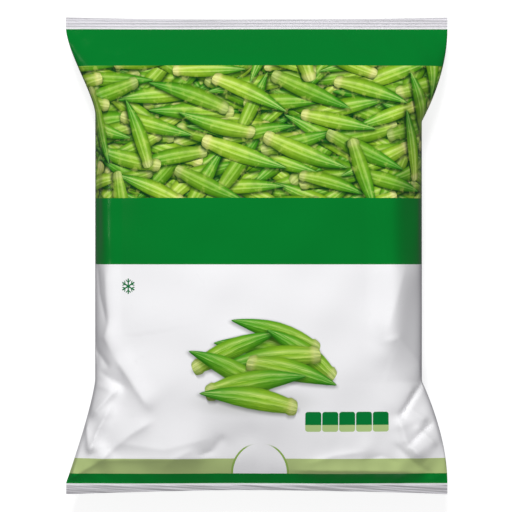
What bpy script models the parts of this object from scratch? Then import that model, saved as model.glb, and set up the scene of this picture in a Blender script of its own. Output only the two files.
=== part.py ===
"""Pillow pouch of deep-frozen okra pods, lying on its back.

Metres. +X is across the pouch, +Y towards its top seal and +Z out of its printed front. The origin is
the middle of the pouch's bounding box, on the surface that it lies on.

The pouch is one web of film: a tube that was closed along the back by a lap seam, and then pressed
shut at both ends by crimped seals. Okra pods lie loose inside it.
"""

import math

import bmesh
import bpy
import numpy as np
from mathutils import Matrix, Vector

# The film tube as it comes off the roll, laid flat
TUBE_WIDTH = 0.240
TUBE_LENGTH = 0.300

# The filled pouch
THICKNESS = 0.064
SEAL_HEIGHT = 0.024
WAIST = {"left": 0.1016, "right": 0.1038}

# Crimped end seals
SEAL_BAND = 0.0074
SEAL_SAG = {"top": 0.0012, "bottom": 0.0026}
CRIMP_RIDGES = 4
CRIMP_DEPTH = 0.00035
SEAL_WAVE = {"top": 0.0012, "bottom": 0.0018}
WAVES_ACROSS = {"top": 1.5, "bottom": 2.0}

# Film walls, thicker than life
PLY = 0.0007
FILM_WALL = 0.0009
SEAM_WIDTH = 0.010
SEAM_THICKNESS = 0.0010
SEAM_BITE = 0.0004
SEAM_RELIEF = 0.030
VENT_RADIUS = 0.0008
VENT_SIDES = 8
VENT_AT = (-0.058, 0.112)

# Shape of the bulge: powers of its curve along the pouch and across it
ALONG_POWER = 2.8
ACROSS_POWER = 2.4
BACK_POWER = 2.6
BACK_FLAT_FROM = 0.8

# Each corner's flare from the waist out to the full tube: its reach from the seal, and two powers
FLARES = {
    ("left", "top"): (0.0535, 1.5, 1.5),
    ("right", "top"): (0.0580, 1.9, 1.0),
    ("left", "bottom"): (0.0650, 1.0, 1.25),
    ("right", "bottom"): (0.0640, 1.8, 1.0),
}

# Creases in the front: from, to, height and half width
CREASES = [
    ((-0.0935, 0.030), (-0.0940, -0.048), 0.0012, 0.0075),
    ((-0.0940, -0.050), (-0.0700, -0.092), 0.0022, 0.0075),
    ((-0.1060, -0.108), (-0.0840, -0.130), -0.0022, 0.0080),
    ((0.0960, -0.012), (0.0780, -0.060), 0.0018, 0.0090),
    ((0.1010, -0.092), (0.0900, -0.108), -0.0018, 0.0080),
    ((0.0700, -0.122), (0.0900, -0.138), 0.0016, 0.0070),
    ((-0.0300, -0.124), (-0.0060, -0.112), -0.0016, 0.0090),
    ((0.0900, 0.080), (0.1050, 0.106), 0.0020, 0.0080),
    ((-0.0950, 0.078), (-0.1080, 0.112), 0.0020, 0.0080),
]

# Mesh of the film
COLUMNS = 28
BODY_ROWS = 26
CRIMP_ROWS = 2 * CRIMP_RIDGES

# Okra pods, as (distance from the cut stem, radius) along a pod of full size
POD_LENGTH = 0.098
POD_PROFILE = [
    (0.000, 0.0036),
    (0.006, 0.0040),
    (0.010, 0.0086),
    (0.014, 0.0104),
    (0.017, 0.0096),
    (0.034, 0.0104),
    (0.056, 0.0094),
    (0.076, 0.0066),
    (0.090, 0.0030),
    (0.098, 0.0008),
]
POD_RIBS = 5
POD_SIZES = {"large": 1.03, "medium": 1.00, "small": 0.95}

# Where the pods start before they are eased apart. Each layer has lanes of two pods: number of
# lanes, distance between them, height, and how far each pod's middle is from the pouch's.
LAYERS = [
    (8, 0.0195, 0.0135, 0.047),
    (9, 0.0200, 0.0325, 0.052),
    (8, 0.0195, 0.0510, 0.045),
]
END_PODS = 4
END_PODS_AT = (0.045, 0.112, 0.026)
TURN = 1.1
SCATTER = 0.006
PACKING_SEED = 3

# Easing the pods apart
MOST_STEPS = 1400
MOVE_SHARE = 0.12
TWIST_SHARE = 0.6
POD_GAP = 0.0008
WALL_GAP = 0.0012
POD_SAMPLES = 17

Y_SEAL = TUBE_LENGTH / 2 - SEAL_BAND
FRONT_BULGE = THICKNESS - SEAL_HEIGHT - PLY
BACK_BULGE = SEAL_HEIGHT - PLY


def half_width(side, y):
    """Half the pouch's width at y: the waist, and at each end a flare of (1 - d ** p) ** q."""
    waist = WAIST[side]
    width = waist
    for end, sign in (("top", 1), ("bottom", -1)):
        reach, p, q = FLARES[side, end]
        d = np.clip((Y_SEAL - sign * y) / reach, 0, 1)
        width = width + (TUBE_WIDTH / 2 - waist) * (1 - d**p) ** q
    return width


def side_width(s, y):
    return np.where(s < 0, half_width("left", y), half_width("right", y))


def dome(y):
    """1 at the middle of the pouch and 0 at its seals."""
    return 1 - np.clip(abs(y) / Y_SEAL, 0, 1) ** ALONG_POWER


def arch(s, power):
    """1 at the middle of a cross-section and 0 at its two folds."""
    return (1 - np.clip(abs(s), 0, 1) ** power) ** (1 / power)


def smooth_step(v):
    v = np.clip(v, 0, 1)
    return v * v * (3 - 2 * v)


def crease_height(x, y):
    """Sum of the creases: each a bell across its line, fading out towards its two ends."""
    total = 0
    for (x0, y0), (x1, y1), height, half in CREASES:
        length = math.hypot(x1 - x0, y1 - y0)
        ux, uy = (x1 - x0) / length, (y1 - y0) / length
        along = (x - x0) * ux + (y - y0) * uy
        off = (y - y0) * ux - (x - x0) * uy
        past = np.clip(np.maximum(-along, along - length), 0, None)
        total = total + height * np.exp(-((off / half) ** 2) - (past / half) ** 2)
    return total


def seal_wave(s, y):
    """Slow wave across the two end seals, fading out into the bulge."""
    end_share = 1 - dome(y)
    top = SEAL_WAVE["top"] * np.sin(WAVES_ACROSS["top"] * math.pi * s + 0.6)
    bottom = SEAL_WAVE["bottom"] * np.sin(WAVES_ACROSS["bottom"] * math.pi * s - 0.9)
    return end_share**2 * np.where(y > 0, top, bottom)


def front_height(s, y):
    x = s * side_width(s, y)
    swell = dome(y) * arch(s, ACROSS_POWER)
    creases = crease_height(x, y) * smooth_step(3 * swell)
    return SEAL_HEIGHT + seal_wave(s, y) + PLY + FRONT_BULGE * swell + creases


def back_height(s, y):
    """The underside rises from a flat rest to the seals, and stands off the seam that lies under it."""
    x = s * side_width(s, y)
    fall = np.clip(dome(y) * arch(s, BACK_POWER) / BACK_FLAT_FROM, 0, 1)
    sink = 1 - (1 - fall) ** 2
    height = (BACK_BULGE + seal_wave(s, y)) * (1 - sink)
    lift = SEAM_THICKNESS * smooth_step(2 - abs(x - SEAM_WIDTH / 2) / (SEAM_RELIEF / 2))
    return np.maximum(height, lift)


def body_rows(count):
    """Places along the pouch from seal to seal, closer together towards the seals."""
    v = np.linspace(-1, 1, count + 1)
    return Y_SEAL * (0.5 * v + 0.5 * np.sin(math.pi / 2 * v))


def crimp_rows(end, s):
    """Rows of one seal band, from the bulge out to the cut edge, and their height in the crimp."""
    steps = np.arange(1, CRIMP_ROWS + 1)
    band = SEAL_BAND - SEAL_SAG[end] * (1 - s**2)
    ridge = CRIMP_DEPTH * np.where(steps % 2 == 1, 1, -1)
    ridge[-1] = 0
    return steps / CRIMP_ROWS * band, ridge


def film_grid(columns, rows):
    """Closed slab of one cell's depth: a front sheet at z = 1, a back sheet at z = 0 and their rim."""
    mesh = bmesh.new()
    bmesh.ops.create_cube(mesh, size=1)
    bmesh.ops.translate(mesh, verts=mesh.verts, vec=(0.5, 0.5, 0.5))
    for axis, count in ((0, columns), (1, rows)):
        for i in range(1, count):
            cut = Vector((0, 0, 0))
            cut[axis] = i / count
            normal = Vector((0, 0, 0))
            normal[axis] = 1
            everything = mesh.verts[:] + mesh.edges[:] + mesh.faces[:]
            bmesh.ops.bisect_plane(mesh, geom=everything, plane_co=cut, plane_no=normal)
    return mesh


def shaped(mesh, name, columns, rows, place):
    """Moves each corner of a slab to place(column, row, is_front), and makes the mesh an object."""
    for vertex in mesh.verts:
        column = round(vertex.co.x * columns)
        row = round(vertex.co.y * rows)
        vertex.co = place(column, row, vertex.co.z > 0.5)
    bmesh.ops.recalc_face_normals(mesh, faces=mesh.faces)
    data = bpy.data.meshes.new(name)
    mesh.to_mesh(data)
    mesh.free()
    return bpy.data.objects.new(name, data)


def column_share(column):
    """Place across the pouch, from -1 to 1, closer together towards the folds."""
    return math.sin(math.pi * (column / COLUMNS - 0.5))


def outer_skin():
    """Outside of the pouch with both crimped seals, as one closed slab."""
    rows = BODY_ROWS + 2 * CRIMP_ROWS
    body = body_rows(BODY_ROWS)

    def place(column, row, is_front):
        s = column_share(column)
        y_line = body[min(max(row - CRIMP_ROWS, 0), BODY_ROWS)]
        past_bottom, past_top = CRIMP_ROWS - row, row - CRIMP_ROWS - BODY_ROWS
        y, bump = y_line, 0
        if past_bottom > 0:
            out, ridge = crimp_rows("bottom", s)
            y, bump = y_line - out[past_bottom - 1], ridge[past_bottom - 1]
        elif past_top > 0:
            out, ridge = crimp_rows("top", s)
            y, bump = y_line + out[past_top - 1], ridge[past_top - 1]
        height = front_height(s, y_line) if is_front else back_height(s, y_line)
        return s * float(side_width(s, y_line)), y, float(height) + bump

    mesh = film_grid(COLUMNS, rows)
    return shaped(mesh, "film_pouch", COLUMNS, rows, place)


def inner_room():
    """The space inside the film, one wall in from the outer skin, as a cutter."""
    body = body_rows(BODY_ROWS)[1:-1]

    def place(column, row, is_front):
        s, y = column_share(column), body[row]
        front, back = float(front_height(s, y)), float(back_height(s, y))
        half_gap = max((front - back) / 2 - FILM_WALL, PLY / 4)
        middle = (front + back) / 2
        width = float(side_width(s, y)) - FILM_WALL
        return s * width, y, middle + (half_gap if is_front else -half_gap)

    mesh = film_grid(COLUMNS, len(body) - 1)
    return shaped(mesh, "inner_room", COLUMNS, len(body) - 1, place)


def back_seam():
    """Lap seam down the middle of the back: a strip folded flat against the film."""
    body = body_rows(BODY_ROWS)

    def place(column, row, is_front):
        x, y = column * SEAM_WIDTH, body[row]
        s = x / float(half_width("right", y))
        height = float(back_height(s, y))
        return x, y, height + (SEAM_BITE if is_front else -SEAM_THICKNESS)

    return shaped(film_grid(1, BODY_ROWS), "back_seam", 1, BODY_ROWS, place)


def vent_cutter():
    """Pinhole through the back of the film, which lets trapped air out when pouches are stacked."""
    x, y = VENT_AT
    height = float(back_height(x / float(half_width("left", y)), y))
    bpy.ops.mesh.primitive_cylinder_add(
        vertices=VENT_SIDES,
        radius=VENT_RADIUS,
        depth=8 * FILM_WALL,
        location=(x, y, height),
    )
    cutter = bpy.context.object
    cutter.name = "vent_cutter"
    return cutter


def material(name, colour, roughness, metallic=0.0):
    made = bpy.data.materials.new(name)
    made.use_nodes = True
    shader = made.node_tree.nodes["Principled BSDF"]
    shader.inputs["Base Color"].default_value = (*colour, 1)
    shader.inputs["Roughness"].default_value = roughness
    shader.inputs["Metallic"].default_value = metallic
    return made


def helper(thing, collection):
    """A cutter or a joining body: it shapes another object, and isn't a part itself."""
    for old in thing.users_collection:
        old.objects.unlink(thing)
    collection.objects.link(thing)
    thing.hide_render = True
    thing.display_type = "WIRE"
    return thing


def add_boolean(target, other, operation):
    modifier = target.modifiers.new(operation.lower() + "_" + other.name, "BOOLEAN")
    modifier.operation = operation
    modifier.object = other
    modifier.solver = "EXACT"


def make_film(parts, helpers):
    """The film pouch: skin and seam joined, then hollowed, then pricked."""
    film = outer_skin()
    parts.objects.link(film)
    add_boolean(film, helper(back_seam(), helpers), "UNION")
    add_boolean(film, helper(inner_room(), helpers), "DIFFERENCE")
    add_boolean(film, helper(vent_cutter(), helpers), "DIFFERENCE")
    film.data.materials.append(material("printed_film", (0.86, 0.87, 0.88), 0.32))
    return film


def pod_mesh(size):
    """A pod turned from its profile, its tip at +Z, in as many steps as it has ribs."""
    name = "okra_pod_" + size
    outline = bmesh.new()
    scale = POD_SIZES[size]
    corners = [
        outline.verts.new((radius * scale, 0, (along - POD_LENGTH / 2) * scale))
        for along, radius in reversed(POD_PROFILE)
    ]
    tip = outline.verts.new((0, 0, POD_LENGTH / 2 * scale))
    stem = outline.verts.new((0, 0, -POD_LENGTH / 2 * scale))
    ends = [tip, *corners, stem]
    for first, second in zip(ends, ends[1:]):
        outline.edges.new((first, second))
    data = bpy.data.meshes.new(name + "_profile")
    outline.to_mesh(data)
    outline.free()
    profile = bpy.data.objects.new(name + "_profile", data)
    bpy.context.scene.collection.objects.link(profile)
    screw = profile.modifiers.new("turn", "SCREW")
    screw.axis = "Z"
    screw.steps = screw.render_steps = POD_RIBS
    screw.use_merge_vertices = True
    screw.merge_threshold = 0.00005
    screw.use_smooth_shade = False
    bpy.context.view_layer.update()
    graph = bpy.context.evaluated_depsgraph_get()
    turned = bpy.data.meshes.new_from_object(profile.evaluated_get(graph))
    turned.name = name
    bpy.data.objects.remove(profile)
    return turned


def laid_out():
    """Middles and directions of the pods in their lanes, stems and tips by turns, each turned by chance."""
    draw = np.random.RandomState(PACKING_SEED)
    middles, turns, facings = [], [], []
    for layer, (lanes, pitch, height, reach) in enumerate(LAYERS):
        for lane in range(lanes):
            for end in (-1, 1):
                x = (lane - (lanes - 1) / 2) * pitch
                y = end * reach + draw.uniform(-SCATTER, SCATTER)
                middles.append((x, y, height))
                turns.append(math.pi / 2 + draw.uniform(-TURN, TURN))
                facings.append(1 if (lane + layer + (end > 0)) % 2 else -1)
    x, y, z = END_PODS_AT
    for i in range(END_PODS):
        middles.append((x if i // 2 % 2 else -x, y if i % 2 else -y, z))
        turns.append(draw.uniform(-SCATTER, SCATTER))
        facings.append(1 if i % 3 else -1)
    turns, facings = np.array(turns), np.array(facings)
    directions = np.column_stack([np.cos(turns), np.sin(turns), np.zeros(len(turns))])
    return np.array(middles), directions * facings[:, None]


def wall_push(points, radii):
    """For each ball, the vector that brings it back inside the film, and zero where it is clear."""
    step = 0.0005
    x, y, z = points.T
    y = np.clip(y, -Y_SEAL + 0.003, Y_SEAL - 0.003)

    def sheets(x, y):
        side = np.where(x < 0, half_width("left", y), half_width("right", y))
        s = np.clip(x / side, -0.995, 0.995)
        return front_height(s, y), back_height(s, y)

    push = np.zeros_like(points)
    room = radii + FILM_WALL + WALL_GAP
    for sheet, sign in ((0, -1), (1, 1)):
        height = sheets(x, y)[sheet]
        slope_x = (sheets(x + step, y)[sheet] - height) / step
        slope_y = (sheets(x, y + step)[sheet] - height) / step
        normal = np.column_stack([-slope_x, -slope_y, np.ones(len(x))])
        normal /= np.linalg.norm(normal, axis=1, keepdims=True)
        clear = sign * (z - height) * normal[:, 2]
        push += sign * np.clip(room - clear, 0, 0.004)[:, None] * normal
    side = np.where(x < 0, half_width("left", y), half_width("right", y))
    push[:, 0] -= np.sign(x) * np.clip(abs(x) + room - side, 0, 0.01)
    return push


def eased_apart(middles, directions, scales):
    """The pods after each has been pushed and turned, step by step, by whatever it still presses on.

    A pod is a row of balls. Each ball is pushed away from the nearest point of every other pod's
    axis by half of what they overlap, and the other pod is pushed back by the same amount.
    """
    count = len(middles)
    base = np.linspace(0, POD_LENGTH, POD_SAMPLES)
    along = (base - POD_LENGTH / 2) * scales[:, None]
    radii = np.interp(base, *zip(*POD_PROFILE)) * scales[:, None]
    half = POD_LENGTH / 2 * scales
    leverage = (along**2).sum(1)[:, None]
    others = np.repeat(np.arange(count), POD_SAMPLES)[:, None] != np.arange(count)
    pods = np.arange(count)[None, :]
    for _ in range(MOST_STEPS):
        balls = (middles[:, None] + along[..., None] * directions[:, None]).reshape(-1, 3)
        offset = balls[:, None] - middles
        reach = np.clip(np.einsum("ijk,jk->ij", offset, directions), -half, half)
        gap = offset - reach[..., None] * directions
        distance = np.sqrt((gap**2).sum(-1)) + 1e-9
        share = (reach / scales / POD_LENGTH + 0.5) * (POD_SAMPLES - 1)
        low = np.clip(share.astype(int), 0, POD_SAMPLES - 2)
        part = share - low
        met = radii[pods, low] * (1 - part) + radii[pods, low + 1] * part
        overlap = np.where(others, radii.reshape(-1, 1) + met + POD_GAP - distance, 0)
        overlap = np.clip(overlap, 0, None)
        if overlap.max() < POD_GAP / 2:
            break
        pushes = gap / distance[..., None] * overlap[..., None] / 2
        force = pushes.sum(1) + wall_push(balls, radii.reshape(-1))
        force = force.reshape(count, POD_SAMPLES, 3)
        move = force.sum(1) - pushes.sum(0)
        twist = (along[..., None] * force).sum(1) - (pushes * reach[..., None]).sum(0)
        middles = middles + MOVE_SHARE * move
        directions = directions + TWIST_SHARE * twist / leverage
        directions = directions / np.linalg.norm(directions, axis=1, keepdims=True)
    return middles, directions


def make_pods(parts):
    """The okra pods, each its own object on one of three shared meshes."""
    meshes = {size: pod_mesh(size) for size in POD_SIZES}
    green = material("okra_skin", (0.36, 0.52, 0.12), 0.55)
    for mesh in meshes.values():
        mesh.materials.append(green)
    middles, directions = laid_out()
    names = list(POD_SIZES)
    sizes = [names[i % len(names)] for i in range(len(middles))]
    scales = np.array([POD_SIZES[size] for size in sizes])
    middles, directions = eased_apart(middles, directions, scales)
    for i, (size, middle, direction) in enumerate(zip(sizes, middles, directions)):
        pod = bpy.data.objects.new(f"okra_pod_{i + 1:02d}", meshes[size])
        turn = Vector(direction).to_track_quat("Z", "Y").to_matrix().to_4x4()
        pod.matrix_world = Matrix.Translation(middle) @ turn
        parts.objects.link(pod)


def main():
    for thing in list(bpy.data.objects):
        bpy.data.objects.remove(thing)
    parts = bpy.data.collections.new("frozen_okra_pouch")
    helpers = bpy.data.collections.new("helpers")
    for collection in (parts, helpers):
        bpy.context.scene.collection.children.link(collection)
    make_film(parts, helpers)
    make_pods(parts)


main()
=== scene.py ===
"""Looks of a filled pillow pouch of deep-frozen okra: its printed film, its back seam and its pods.

Lengths are in metres, except in the print, where they are in millimetres on the film. The pouch lies
on its back, +X across it, +Y towards its top seal and +Z out of its printed front.
"""

import math

import bpy
import numpy as np
from bpy.props import FloatProperty, FloatVectorProperty, IntProperty, PointerProperty
from bpy.types import Operator, Panel, PropertyGroup
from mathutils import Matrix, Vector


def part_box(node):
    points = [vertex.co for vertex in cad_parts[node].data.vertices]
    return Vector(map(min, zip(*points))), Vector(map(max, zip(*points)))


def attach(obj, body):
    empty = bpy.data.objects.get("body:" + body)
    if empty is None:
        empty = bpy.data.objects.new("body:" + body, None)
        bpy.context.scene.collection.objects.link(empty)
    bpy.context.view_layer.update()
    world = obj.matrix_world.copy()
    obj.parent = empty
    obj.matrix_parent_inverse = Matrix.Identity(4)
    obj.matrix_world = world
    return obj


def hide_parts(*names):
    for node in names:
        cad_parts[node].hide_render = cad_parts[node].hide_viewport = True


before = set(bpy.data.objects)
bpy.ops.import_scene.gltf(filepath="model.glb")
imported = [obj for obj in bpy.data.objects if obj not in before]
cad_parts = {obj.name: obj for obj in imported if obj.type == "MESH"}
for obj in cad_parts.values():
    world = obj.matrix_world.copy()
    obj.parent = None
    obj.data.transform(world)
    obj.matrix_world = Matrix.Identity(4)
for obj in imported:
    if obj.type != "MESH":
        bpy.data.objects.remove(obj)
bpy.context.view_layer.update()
FILM_LOW, FILM_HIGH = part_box("film_pouch")

bl_info = {
    "name": "Frozen Okra Pouch",
    "version": (1, 0, 0),
    "blender": (4, 5, 0),
    "location": "3D View > Sidebar > Pouch",
    "description": "Dresses a filled, sealed film pouch and the okra pods inside it",
    "category": "Add Mesh",
}

# Each corner's flare from the waist out to the full tube: its reach from the seal, and two powers
FLARES = {
    ("left", "top"): (0.0535, 1.5, 1.5),
    ("right", "top"): (0.0580, 1.9, 1.0),
    ("left", "bottom"): (0.0650, 1.0, 1.25),
    ("right", "bottom"): (0.0640, 1.8, 1.0),
}

# Powers of the dome along the pouch and of the arches across its front and its back. The back lies flat
# where its dome times its arch is above the last share.
ALONG_POWER = 2.8
ACROSS_POWER = 2.4
BACK_POWER = 2.6
BACK_FLAT_FROM = 0.8

# Soft creases that the solid film has too: from, to, height and half width
BROAD_CREASES = [
    ((-0.0935, 0.030), (-0.0940, -0.048), 0.0012, 0.0075),
    ((-0.0940, -0.050), (-0.0700, -0.092), 0.0022, 0.0075),
    ((-0.1060, -0.108), (-0.0840, -0.130), -0.0022, 0.0080),
    ((0.0960, -0.012), (0.0780, -0.060), 0.0018, 0.0090),
    ((0.1010, -0.092), (0.0900, -0.108), -0.0018, 0.0080),
    ((0.0700, -0.122), (0.0900, -0.138), 0.0016, 0.0070),
    ((-0.0300, -0.124), (-0.0060, -0.112), -0.0016, 0.0090),
    ((0.0900, 0.080), (0.1050, 0.106), 0.0020, 0.0080),
    ((-0.0950, 0.078), (-0.1080, 0.112), 0.0020, 0.0080),
]

# Sharp creases of the film, in mm: a line of points, its height, and the widths over which it falls
# away to the left and to the right of the line as one follows it
SHARP_CREASES = [
    (((-96.6, 78), (-96.2, 30), (-95.2, -6)), 2.0, 12, 2.0),
    (((-95.2, -1), (-93.9, -25), (-92.7, -42), (-95.0, -51), (-87.2, -66)), 2.5, 13, 2.2),
    (((-90, -61), (-78.1, -79), (-65, -98)), 2.6, 9, 1.8),
    (((-101, -70), (-90, -78), (-78, -84)), -2.4, 3.0, 7.0),
    (((-98.9, 76), (-98.7, 20), (-98.5, -6)), -1.3, 1.3, 1.8),
    (((-100.0, 0), (-98.1, -24), (-92.6, -46)), -2.2, 1.3, 2.4),
    (((-106, -54), (-98, -62), (-91, -72)), -3.0, 2.2, 4.0),
    (((-104, -79.5), (-89, -84.5)), 1.2, 2.6, 1.4),
    (((-84, -80), (-95, -91), (-106, -102)), 4.0, 3.0, 8.0),
    (((-107.4, -103), (-105.0, -125)), 2.8, 7.0, 1.4),
    (((-107, -128), (-99, -108), (-89, -90)), 3.0, 2.0, 3.4),
    (((-101, -130), (-80, -112), (-62, -101)), 2.8, 8.0, 3.4),
    (((94.5, 0), (86, -30), (77, -56)), 1.7, 7.0, 12.0),
    (((74, -54), (88, -51), (101, -66), (105, -79)), 1.8, 3.0, 9.0),
    (((106, -77), (97, -90), (88.5, -104)), -3.6, 1.2, 3.0),
    (((99, -79), (93, -91), (86, -101)), 1.4, 2.0, 6.0),
    (((88, -98), (93, -115), (106, -130)), 5.4, 8.0, 5.0),
    (((112, -103), (102, -112), (93, -121)), -3.0, 1.8, 3.4),
    (((93, -94), (108, -104)), 1.8, 1.8, 3.4),
    (((98, -105), (114, -120)), 1.8, 1.8, 3.0),
    (((113, 108), (103, 97), (91, 89)), -1.2, 2.4, 1.8),
    (((87, 110), (97, 97), (105, 85)), 1.4, 3.0, 2.0),
    (((100.8, 92), (101.0, 40), (100.4, -4)), 1.4, 1.8, 9),
    (((-98, 129), (-87, 125), (-74, 131)), -0.7, 3.0, 2.2),
    (((-70, 133), (-58, 129), (-44, 134)), -0.4, 3.0, 2.2),
    (((-22, 132), (-6, 128), (10, 133)), -0.5, 3.4, 2.4),
    (((60, 132), (74, 128), (83, 131)), -0.7, 3.0, 2.2),
    (((-94, -116), (-58, -121), (-22, -112)), 1.8, 14.0, 7.0),
    (((-112, -128), (-84, -127.4), (-18, -126.5)), 4.4, 12.0, 6.0),
    (((-121, -143), (-111, -135.8), (-98, -128), (-90, -121)), 3.4, 9.0, 3.6),
    (((16, -134.4), (64, -134.8), (112, -136)), 4.8, 9.0, 3.4),
    (((83, -115), (97, -128), (113, -140)), -1.5, 1.6, 2.4),
    (((-62, -135), (-50, -126), (-38, -120)), 1.0, 2.4, 3.6),
    (((-38, -126), (-28, -122), (-19, -111)), -1.6, 2.4, 3.2),
    (((28, -132), (48, -125), (70, -122)), 1.3, 2.4, 4.4),
    (((64, -129), (78, -125), (92, -131)), -1.0, 2.4, 3.0),
]

# How round the crest of a crease is, and the share of its line over which each end fades
CREST_RADIUS = 0.0004
CREASE_FADE = 0.25

# Fuller shoulders beside the folds: how far in, how high, how wide, and where each ends low down
SHOULDERS = {
    "left": (0.0085, 0.0022, 0.0075, -0.1426),
    "right": (0.0182, 0.0064, 0.0104, -0.0900),
}
SHOULDER_FADE = 0.05

# Share of the way across, beside each fold, over which creases and ripples fade out
FRONT_EDGE = 0.02
BACK_EDGE = 0.035

# How evenly columns and rows lie: 1 is even, and less brings them closer together at their ends
COLUMN_EVENNESS = 0.58
ROW_EVENNESS = 0.72

# How far the seals wave up and down, and how far their cut edges sag
SEAL_WAVES = {"top": 0.0012, "bottom": 0.0018}
CUT_EDGE_SAGS = {"top": 0.0012, "bottom": 0.0026}

# Ripples beside the seals: their height, and how far in they rise, die away and spread to double
PUCKER_HEIGHTS = {"top": 0.00026, "bottom": 0.00038}
PUCKER_RISE = 0.006
PUCKER_REACH = 0.016
PUCKER_SPREAD = 0.16

# Low swells where pods press on the film: how high each wave is, and how far all of them lift the film
LUMP_HEIGHT = 0.00026
LUMP_LIFT = 0.0004

# Rows of faces across each seal, ridges in it, and how deep the bottom seal's are beside the top's
SEAL_ROWS = 20
CRIMP_RIDGES = 4.25
BOTTOM_CRIMP = 0.45

# The lap seam: points round its profile, rows along it, and the powers that square its sides and top
SEAM_POINTS = 28
SEAM_ROWS = 260
SEAM_SIDE_POWER, SEAM_TOP_POWER = 0.35, 0.6

# Waves of the seam's free edge: height, radians per metre and start
SEAM_WAVES = [(0.00035, 95, 0), (0.00025, 210, 1)]

# Places along the pouch, in mm from its middle, where the print changes
PRINT_TOP = 142.6
GREEN_TO_PICTURE = 119.2
PICTURE_TO_GREEN = 36.1
GREEN_TO_WHITE = -5.2
WHITE_TO_LEAF = -126.9
LEAF_TO_GREEN = -136.6
PRINT_BOTTOM = -143.0

# The marks on the white ground, in mm on the film: the snow crystal's middle, the row of tiles from
# corner to corner and its light foot, the half-round tab, and the shadow under the pile of pods
SNOW_PLACE = (-81.3, -18.8)
TILES_FROM, TILES_TO = (29.9, -109.7), (82.9, -97.1)
TILE_COUNT = 5
TILE_FOOT = 4.3
TAB_MIDDLE = 2.0
TAB_HALF_WIDTH, TAB_HEIGHT = 17.5, 20.0
PILE_SHADE_MIDDLE, PILE_SHADE_REACH = (-2.0, -91.0), (48.0, 12.0)

# The floor: its flat part, the cove at its rim and the wall above
FLOOR_RADIUS = 3.2
COVE_RADIUS = 0.8
WALL_TOP = 3.0

# Power of the fill and of the glint beside the key's, and the camera's place across the pouch
FILL_SHARE, GLINT_SHARE = 0.46, 0.06
CAMERA_X = -0.0005


def ink(red, green, blue):
    """A colour given as it looks on a screen, 0 to 255, as the linear colour that shaders take."""
    shares = (value / 255 for value in (red, green, blue))
    return tuple(v / 12.92 if v <= 0.04045 else ((v + 0.055) / 1.055) ** 2.4 for v in shares)


def smooth_step(v):
    v = np.clip(v, 0, 1)
    return v * v * (3 - 2 * v)


def with_picture_edges(rows):
    """Rows along the pouch, of which two are moved onto the edges of the picture band."""
    for edge in (PICTURE_TO_GREEN / 1000, GREEN_TO_PICTURE / 1000):
        rows[abs(rows - edge).argmin()] = edge
    return rows


class FilmSizes(PropertyGroup):
    tube_width: FloatProperty(
        name="Tube width",
        description="Width of the film tube when it is laid flat",
        default=FILM_HIGH[0] - FILM_LOW[0],
        unit="LENGTH",
    )
    tube_length: FloatProperty(
        name="Tube length",
        description="Length of the film tube from cut edge to cut edge",
        default=FILM_HIGH[1] - FILM_LOW[1],
        unit="LENGTH",
    )
    thickness: FloatProperty(
        name="Thickness",
        description="Greatest thickness of the filled pouch",
        default=FILM_HIGH[2] - FILM_LOW[2],
        unit="LENGTH",
    )
    seal_height: FloatProperty(
        name="Seal height",
        description="Height of the end seals above the surface that the pouch lies on",
        default=0.024,
        unit="LENGTH",
    )
    waist_left: FloatProperty(
        name="Left waist",
        description="Half width of the filled pouch on its left side",
        default=0.1016,
        unit="LENGTH",
    )
    waist_right: FloatProperty(
        name="Right waist",
        description="Half width of the filled pouch on its right side",
        default=0.1038,
        unit="LENGTH",
    )
    seal_band: FloatProperty(
        name="Seal band",
        description="Width of each crimped end seal",
        default=0.0074,
        unit="LENGTH",
    )
    ply: FloatProperty(
        name="Seal half thickness",
        description="Half of the thickness of the two sheets in a seal",
        default=0.0007,
        unit="LENGTH",
    )
    crimp_depth: FloatProperty(
        name="Crimp depth",
        description="How far each ridge of the crimp stands out",
        default=0.00030,
        unit="LENGTH",
    )
    seam_width: FloatProperty(
        name="Back seam width",
        description="Width of the lap seam down the back",
        default=0.010,
        unit="LENGTH",
    )
    seam_thickness: FloatProperty(
        name="Back seam thickness",
        description="Thickness of the lap seam down the back",
        default=0.0010,
        unit="LENGTH",
    )
    columns: IntProperty(
        name="Columns",
        description="Faces across each side of the film",
        default=164,
        min=40,
        max=170,
    )
    rows: IntProperty(
        name="Rows",
        description="Faces along the film between its seals",
        default=250,
        min=60,
        max=260,
    )


class PrintInks(PropertyGroup):
    band_green: FloatVectorProperty(
        name="Band green",
        description="Plain bands of the print",
        default=ink(0, 125, 43),
        subtype="COLOR",
    )
    leaf_green: FloatVectorProperty(
        name="Leaf green",
        description="Light band above the bottom seal",
        default=ink(184, 203, 134),
        subtype="COLOR",
    )
    white: FloatVectorProperty(
        name="White",
        description="White ground of the print",
        default=ink(251, 251, 252),
        subtype="COLOR",
    )
    seal_grey: FloatVectorProperty(
        name="Seal grey",
        description="Unprinted film of the end seals",
        default=ink(232, 230, 235),
        subtype="COLOR",
    )


class OkraColours(PropertyGroup):
    skin: FloatVectorProperty(
        name="Skin",
        description="Green of a pod's ribs",
        default=ink(126, 168, 72),
        subtype="COLOR",
    )
    furrow: FloatVectorProperty(
        name="Furrow",
        description="Darker green between the ribs and at the tip",
        default=ink(66, 118, 44),
        subtype="COLOR",
    )
    stem: FloatVectorProperty(
        name="Stem",
        description="Pale green of the cut stem and cap",
        default=ink(196, 204, 140),
        subtype="COLOR",
    )
    frost: FloatVectorProperty(
        name="Frost",
        description="Ice crystals on the skin",
        default=ink(232, 238, 236),
        subtype="COLOR",
    )


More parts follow.
